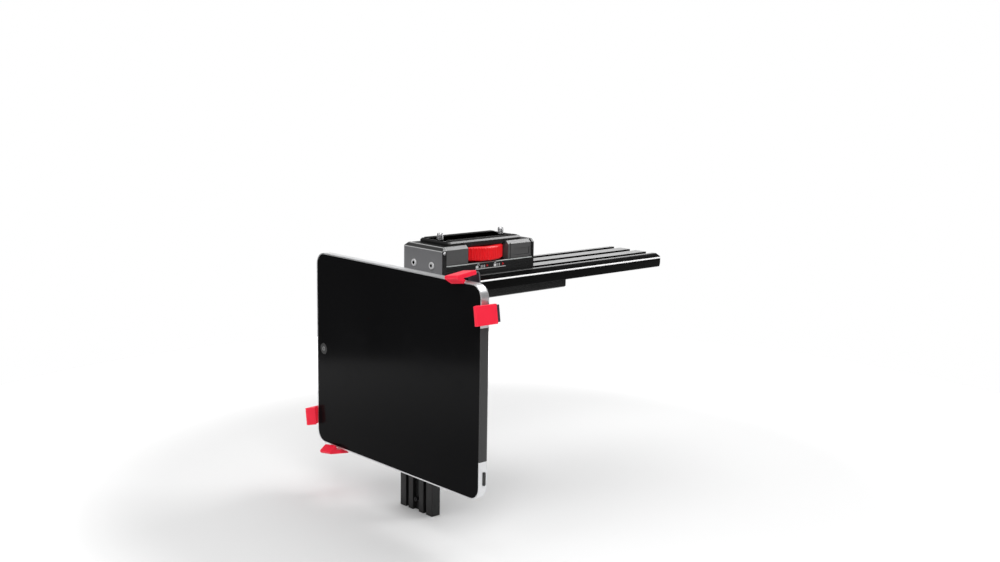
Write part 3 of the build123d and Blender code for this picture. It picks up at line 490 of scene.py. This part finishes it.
brokenEdges = {  # node: slot, material, edge radius in millimetres, bevel steps
    "rail": ("black_anodised", railBlack, 0.3, 2),
    "mounting_foot": ("black_anodised", plateBlack, 0.3, 2),
    "post": ("black_anodised", postBlack, 0.3, 2),
    "post_bracket": ("black_anodised", postBlack, 0.4, 2),
    "base_plate": ("black_anodised", plateBlack, 0.25, 2),
    "front_block": ("gloss_black_anodised", blockReflectionGrey, 0.25, 2),
    "rear_block": ("gloss_black_anodised", blockReflectionGrey, 0.2, 2),
    "front_plate": ("grey_anodised", plateGrey, 0.42, 2),
    "rear_plate": ("black_anodised", endBlack, 0.25, 2),
    "top_plate": ("black_anodised", roofBlack, 0.3, 2),
    "carriage": ("black_anodised", postBlack, 0.6, 3),
    "spine": ("black_anodised", postBlack, 0.35, 2),
    "thumbwheel": ("red_anodised", redMetal, 0.16, 1),
    "carriage_knob": ("knob_plastic", knobPlastic, 0.5, 3),
    "upper_lock_knob": ("knob_plastic", knobPlastic, 0.35, 2),
    "lower_lock_knob": ("knob_plastic", knobPlastic, 0.35, 2),
    "front_plate_screws": ("bright_screw", brightHead, 0.15, 2),
    "rear_plate_screws": ("black_screw", screwBlack, 0.15, 2),
    "top_plate_screws": ("black_screw", screwBlack, 0.15, 2),
    "foot_screws": ("black_screw", screwBlack, 0.15, 2),
    "post_bracket_screws": ("black_screw", screwBlack, 0.15, 2),
    "upper_arm": ("sheet_steel", darkSheet, 0.2, 2),
    "lower_arm": ("sheet_steel", darkSheet, 0.2, 2),
    "tablet_shell": ("tablet_aluminium", blasted, 0.12, 2),
    "tablet_glass": ("tablet_glass", blackGlass, 0.2, 2),
    "spine_pads": ("black_rubber", blackRubber, 0.3, 2),
}
for node, (slotName, material, edge, steps) in brokenEdges.items():
    refine(node, slotName, material, edge, steps)


def repaint(node, material, test):
    # gives another material to the faces whose middle, in millimetres, and normal pass the test
    piece = bpy.data.objects[node + "_finished"]
    piece.data.materials.append(material)
    for face in piece.data.polygons:
        if test(face.center / mm, face.normal):
            face.material_index = len(piece.data.materials) - 1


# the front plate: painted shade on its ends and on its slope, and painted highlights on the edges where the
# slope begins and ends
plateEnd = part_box("front_plate")[1].x / mm - 8
# painted shade: the grey plate's ends made near-black
repaint("front_plate", endBlack, lambda middle, normal: abs(normal.x) > 0.6 and abs(middle.x) > plateEnd)
repaint("front_plate", shadedSlope, lambda middle, normal: normal.y < -0.65 and normal.z > 0.65)
repaint("front_plate", plateEdgeHighlight, lambda middle, normal: normal.y < -0.1 and abs(normal.x) < 0.5
        and (0.1 < normal.z < 0.65 or 0.76 < normal.z < 0.98))

# painted shade on the riser's tops, a painted reflection on the rail's top lands, and painted highlights
# along the base's edges and the tablet's rim
for node in ("front_plate", "front_block", "rear_block", "rear_plate"):
    repaint(node, shadedTop, lambda middle, normal: normal.z > 0.99)
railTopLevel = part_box("rail")[1].z / mm - 0.1
# painted reflection on the rail's top lands
repaint("rail", railTopReflection, lambda middle, normal: normal.z > 0.99 and middle.z > railTopLevel)
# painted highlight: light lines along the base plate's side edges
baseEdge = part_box("base_plate")[1].x / mm - 2.3
repaint("base_plate", baseEdgeHighlight, lambda middle, normal: abs(normal.y) < 0.1
        and 0.15 < abs(normal.x) < 0.98 and abs(middle.x) > baseEdge)
# painted highlight: a near-white rim along the tablet's front edge
repaint("tablet_shell", rimHighlight, lambda middle, normal: -0.98 < normal.y < -0.15)

# painted shade in the sockets of the front screws' bright heads
plateScrew = {"x": 12.8, "z": 33.6, "socket": 1.75, "deep": 0.3}
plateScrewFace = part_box("front_plate_screws")[0].y / mm + plateScrew["deep"]


def inSocket(middle, normal):
    aside, above = abs(middle.x) - plateScrew["x"], middle.z - plateScrew["z"]
    return middle.y > plateScrewFace and aside ** 2 + above ** 2 < plateScrew["socket"] ** 2


repaint("front_plate_screws", socketShade, inSocket)
print("machined parts finished")


# rubber sleeves: thick moulded edges, rounder than the metal they cover
sleeves = {"edge": 0.55, "steps": 3, "sharp": 40, "smooth": 50}
for node in ("top_sleeve", "right_sleeve", "left_sleeve", "bottom_sleeve"):
    refine(node, "red_rubber", redRubber, sleeves["edge"], sleeves["steps"],
           sleeves["sharp"], sleeves["smooth"])


# spring brackets: dark plated faces, with bright edges where the sheet was cut
springSheet = {"edge": 0.18, "steps": 2}


def makeBracket(node):
    piece = refine(node, "sheet_steel", darkSheet, springSheet["edge"], springSheet["steps"])
    piece.data.materials.append(cutEdge)
    for face in piece.data.polygons:
        if abs(face.normal.y) < 0.05:
            face.material_index = 1


for node in ("upper_bracket", "lower_bracket"):
    makeBracket(node)
print("clips finished")


# camera screws: a real thread on the free end
cameraScrew = {
    "radius": 3.175, "pitch": 1.27, "depth": 0.62, "turns": 4, "steps": 40, "overlap": 0.2,
    "crestAt": 0.46, "ridge": 0.92, "bare": 1.05,  # of a pitch
    "point": 0.45, "headRadius": 6, "headHigh": 5, "rim": 0.3, "recessRim": 2.2, "recess": 1.6,
}


def makeScrew(node):
    low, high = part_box(node)
    y = (low.y + high.y) / 2
    crest = cameraScrew["radius"] * mm
    pitch = cameraScrew["pitch"] * mm
    root = crest - cameraScrew["depth"] * mm
    foot = root - cameraScrew["overlap"] * mm
    headHigh = cameraScrew["headHigh"] * mm
    start = high.z - (cameraScrew["turns"] + cameraScrew["bare"]) * pitch
    bpy.ops.mesh.primitive_cylinder_add(
        vertices=48, radius=root, depth=high.z - low.z, location=(0, y, (low.z + high.z) / 2))
    shaft = bpy.context.object
    with editing(shaft):
        pickFaces(shaft, lambda middle, normal: normal.z > 0.9)
        bpy.ops.mesh.bevel(offset=cameraScrew["point"] * mm, segments=2, affect="EDGES")
    settle(shaft)
    bpy.ops.mesh.primitive_cylinder_add(
        vertices=64, radius=cameraScrew["headRadius"] * mm, depth=headHigh,
        location=(0, y, low.z + headHigh / 2))
    head = bpy.context.object
    with editing(head):
        for way in (1, -1):
            pickFaces(head, lambda middle, normal: normal.z * way > 0.9)
            bpy.ops.mesh.bevel(offset=cameraScrew["rim"] * mm, segments=2, affect="EDGES")
        pickFaces(head, lambda middle, normal: normal.z < -0.9)
        bpy.ops.mesh.inset(thickness=cameraScrew["recessRim"] * mm)
        bpy.ops.mesh.extrude_region_move(
            TRANSFORM_OT_translate={"value": (0, 0, cameraScrew["recess"] * mm)})
    settle(head)
    bpy.ops.mesh.primitive_circle_add(vertices=3, radius=pitch / 2)
    ridge = bpy.context.object
    profile = ((foot, 0, 0), (crest, 0, pitch * cameraScrew["crestAt"]),
               (foot, 0, pitch * cameraScrew["ridge"]))
    for corner, place in zip(ridge.data.vertices, profile):
        corner.co = place
    modify(ridge, "SCREW", screw_offset=pitch, iterations=cameraScrew["turns"], axis="Z",
           steps=cameraScrew["steps"], render_steps=cameraScrew["steps"], use_merge_vertices=True)
    with editing(ridge):
        pickRims(ridge)
        bpy.ops.mesh.fill()
    ridge.location = (0, y, start)
    settle(ridge)
    screw = joinAll([shaft, head, ridge], node + "_finished")
    smoothen(screw, 30)
    finishPiece(screw, bodyOf(node), "bright_screw", screwSteel, replaced=[node])


for node in ("front_camera_screw", "rear_camera_screw"):
    makeScrew(node)
print("camera screws made")


# camera pads: two rubber strips let into the roof plate, with a row of shallow pockets
pads = {"wide": 6, "pockets": 24, "rib": 0.6, "deep": 0.4, "edge": 0.12}


def makePads():
    low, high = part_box("camera_pads")
    wide, length = pads["wide"] * mm, high.y - low.y
    step = length / pads["pockets"]
    strips = []
    for side in (-1, 1):
        bpy.ops.mesh.primitive_cube_add(size=1)
        strip = bpy.context.object
        strip.location = (side * (high.x - wide / 2), (low.y + high.y) / 2, (low.z + high.z) / 2)
        strip.scale = (wide, length, high.z - low.z)
        settle(strip)
        with editing(strip):
            for cut in range(1, pads["pockets"]):
                bpy.ops.mesh.select_all(action="SELECT")
                bpy.ops.mesh.bisect(plane_co=(0, low.y + cut * step, 0), plane_no=(0, 1, 0))
            pickFaces(strip, lambda middle, normal: normal.z > 0.9)
            bpy.ops.mesh.inset(thickness=pads["rib"] * mm, use_individual=True)
            bpy.ops.mesh.extrude_region_move(
                TRANSFORM_OT_translate={"value": (0, 0, -pads["deep"] * mm)})
        strips.append(strip)
    ribbed = joinAll(strips, "camera_pads_finished")
    modify(ribbed, "BEVEL", width=pads["edge"] * mm, segments=2, limit_method="ANGLE",
           angle_limit=radians(40))
    smoothen(ribbed)
    finishPiece(ribbed, "riser", "black_rubber", blackRubber, replaced=["camera_pads"])


makePads()
print("camera pads made")


# marks beside the wheel: an open and a closed padlock with ticks, arrows, and a line under them
marks = {
    "height": 30.9, "film": 0.05,
    "body": (3.2, 2.4, 0.4), "bodyDrop": 0.6,  # padlock: wide, high, corner
    "bow": 1.05, "wire": 0.45, "bowDrop": 0.7, "openLift": 0.7, "shutLift": 0.45,
    "tick": (0.75, 2.6, 0.1), "tickDrop": 0.4, "tickStep": 2.1, "tickGap": 1.9,
    "arrow": (2.2, 2.4),  # long, wide
    "line": (-64.5, -26.5, 28.1, 0.55),  # from, to, height, thickness
    "places": ((-62.5, 3, 1.6, -50.6), (-40.0, 2, 0.0, -30.9)),  # lock, ticks, bow shift, arrow
}


def flatMark(corners, name):
    # a thin printed shape in the plane X = 0, from its corners in Y and Z
    bpy.ops.mesh.primitive_circle_add(vertices=len(corners), radius=1 * mm, fill_type="NGON")
    mark = bpy.context.object
    mark.name = name
    for corner, (y, z) in zip(mark.data.vertices, corners):
        corner.co = (0, y * mm, z * mm)
    with editing(mark):
        bpy.ops.mesh.select_all(action="SELECT")
        bpy.ops.mesh.extrude_region_move(TRANSFORM_OT_translate={"value": (marks["film"] * mm, 0, 0)})
    return mark


def roundedBox(y, z, wide, high, corner):
    points = []
    for centreY, centreZ, first in ((1, 1, 0), (-1, 1, 90), (-1, -1, 180), (1, -1, 270)):
        for turn in (0, 45, 90):
            angle = radians(first + turn)
            points.append((y + centreY * (wide / 2 - corner) + corner * cos(angle),
                           z + centreZ * (high / 2 - corner) + corner * sin(angle)))
    return points


def bow(y, z, lift):
    # the padlock's bow: half a ring on two legs
    outer, inner = marks["bow"] + marks["wire"] / 2, marks["bow"] - marks["wire"] / 2
    turns = [radians(15 * step) for step in range(13)]
    points = [(y + outer, z)]
    points += [(y + outer * cos(turn), z + lift + outer * sin(turn)) for turn in turns]
    points += [(y - outer, z + lift * 0.6), (y - inner, z + lift * 0.6)]
    points += [(y + inner * cos(turn), z + lift + inner * sin(turn)) for turn in reversed(turns)]
    points += [(y + inner, z)]
    return points


def makeMarks(side):
    wide, high, corner = marks["body"]
    z = marks["height"]
    long, across = marks["arrow"]
    white, red = [], []
    for y, ticks, shift, arrow in marks["places"]:
        lift = marks["openLift"] if shift else marks["shutLift"]
        white.append(flatMark(roundedBox(y, z - marks["bodyDrop"], wide, high, corner), "lock"))
        white.append(flatMark(bow(y + shift, z + high / 2 - marks["bowDrop"], lift), "bow"))
        for tick in range(ticks):
            place = y + shift + wide / 2 + marks["tickGap"] + tick * marks["tickStep"]
            white.append(flatMark(roundedBox(place, z - marks["tickDrop"], *marks["tick"]), "tick"))
        corners = [(arrow, z + across / 2), (arrow, z - across / 2), (arrow + long, z)]
        red.append(flatMark(corners, "arrow"))
    start, end, level, thick = marks["line"]
    corners = [(start, level), (end, level), (end, level + thick), (start, level + thick)]
    white.append(flatMark(corners, "line"))
    for group, paint, name in ((white, paintWhite, "white"), (red, paintRed, "red")):
        printed = joinAll(group, f"{name}_marks_{'right' if side > 0 else 'left'}")
        if side < 0:
            takeUp(printed)
            printed.scale = (-1, 1, 1)
        printed.location = (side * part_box("base_plate")[1].x, 0, 0)
        settle(printed)
        finishPiece(printed, "riser", "bright_screw" if paint is paintWhite else "red_anodised", paint)


for side in (1, -1):
    makeMarks(side)
print("marks printed")


# the ring on the home button
homeSign = {"size": 3.3, "corner": 0.8, "wire": 0.28, "film": 0.04}


def makeHomeSign():
    low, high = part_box("tablet_home_button")
    middle = (low + high) / 2
    bpy.ops.mesh.primitive_plane_add(size=homeSign["size"] * mm, location=(middle.x, low.y, middle.z),
                                     rotation=(pi / 2, 0, 0))
    sign = bpy.context.object
    with editing(sign):
        bpy.ops.mesh.select_all(action="SELECT")
        bpy.ops.mesh.bevel(offset=homeSign["corner"] * mm, segments=4, affect="VERTICES")
        bpy.ops.mesh.inset(thickness=homeSign["wire"] * mm)
        bpy.ops.mesh.delete(type="FACE")
        bpy.ops.mesh.select_all(action="SELECT")
        bpy.ops.mesh.extrude_region_move(TRANSFORM_OT_translate={"value": (0, -homeSign["film"] * mm, 0)})
    sign.name = "home_sign"
    settle(sign)
    finishPiece(sign, "home_button", "tablet_plastic", paintWhite)


makeHomeSign()
print("home sign made")


# parts that keep the frame's own shape
plainParts = {
    "stop_screws": screwBlack, "guide_strips": nylon, "base_screws": screwBlack,
    "wheel_washer": nylon, "clamp_bolt": screwSteel, "release_button": screwSteel,
    "friction_washer": nylon, "pivot_screw": screwSteel, "upper_rivet": screwSteel,
    "lower_rivet": screwSteel, "tablet_antenna_window": windowPlastic,
    "tablet_home_button": keyPlastic, "tablet_display": darkPanel, "tablet_battery": foilPouch,
    "tablet_logic_board": board, "tablet_headphone_jack": keyPlastic,
    "tablet_dock_connector": socketSteel, "tablet_speaker": keyPlastic,
    "tablet_sleep_button": keyPlastic, "tablet_volume_rocker": keyPlastic,
    "tablet_mute_switch": keyPlastic, "tablet_sim_tray": blasted,
}
for node, material in plainParts.items():
    for materialSlot in nodes[node].material_slots:
        materialSlot.material = material
print("plain parts finished")


# floor and light
studio = {"floorSize": 0.75, "floorY": 0.02, "floorGap": 0.0002, "floorShade": 0.86,
          "fade": (0.45, 0.97), "roomLight": 0.16}
softboxes = {  # name: size, place, aim, power
    "overhead": ((1.8, 1.8), (-0.1, 0.1, 1.7), (0, 0, 0), 18),
    "key": ((1.2, 1.0), (1.3, -0.9, 1.1), (0, 0, 0), 18),
    "frontFill": ((1.2, 1.0), (-0.6, -1.9, 0.9), (0, 0, -0.1), 9),
    "rim": ((0.9, 0.5), (0.25, 1.0, 1.1), (0, 0, 0), 9),
    "backdrop": ((2.4, 0.9), (-1.5, 1.35, 0.42), (0, 0, 0), 7),
}


def makeFloor():
    bpy.ops.mesh.primitive_circle_add(
        vertices=96, radius=studio["floorSize"], fill_type="NGON",
        location=(0, studio["floorY"], cadLow.z - studio["floorGap"]))
    floor = bpy.context.object
    floor.name = "floor"
    finish = Finish("paleFloor", Roughness=0.7, Specular_IOR_Level=0.2)
    finish.feed("Base Color", (studio["floorShade"],) * 3 + (1.0,))
    # towards its rim the floor fades into the white room
    outwards = finish.node("VectorMath", {"operation": "LENGTH"}, {0: finish.coords}, output="Value")
    edge = finish.smooth(outwards, *(studio["floorSize"] * share for share in studio["fade"]))
    finish.feed("Emission Strength", 1.0)
    finish.feed("Emission Color", finish.mix(edge, (0, 0, 0, 1), (1, 1, 1, 1)))
    floor.data.materials.append(finish.material)


def addSoftbox(name, size, place, aim, power):
    bpy.ops.object.light_add(type="AREA", location=place)
    box = bpy.context.object
    box.name = name
    box.data.shape = "RECTANGLE"
    box.data.size, box.data.size_y = size
    box.data.energy = power
    box.rotation_euler = (Vector(aim) - Vector(place)).to_track_quat("-Z", "Y").to_euler()
    box.visible_camera = False


def makeWorld():
    # a white room to look at, and a dimmer one to be lit by
    world = bpy.data.worlds.new("studio")
    bpy.context.scene.world = world
    world.use_nodes = True
    tree = world.node_tree
    shown, lit = tree.nodes["Background"], tree.nodes.new("ShaderNodeBackground")
    shown.inputs["Color"].default_value = (1, 1, 1, 1)
    lit.inputs["Color"].default_value = (1, 1, 1, 1)
    lit.inputs["Strength"].default_value = studio["roomLight"]
    ray, mix = tree.nodes.new("ShaderNodeLightPath"), tree.nodes.new("ShaderNodeMixShader")
    tree.links.new(ray.outputs["Is Camera Ray"], mix.inputs[0])
    tree.links.new(lit.outputs[0], mix.inputs[1])
    tree.links.new(shown.outputs[0], mix.inputs[2])
    tree.links.new(mix.outputs[0], tree.nodes["World Output"].inputs["Surface"])


makeFloor()
makeWorld()
for name, (size, place, aim, power) in softboxes.items():
    addSoftbox(name, size, place, aim, power)
bpy.context.scene.view_settings.view_transform = "Standard"
print("studio lit")
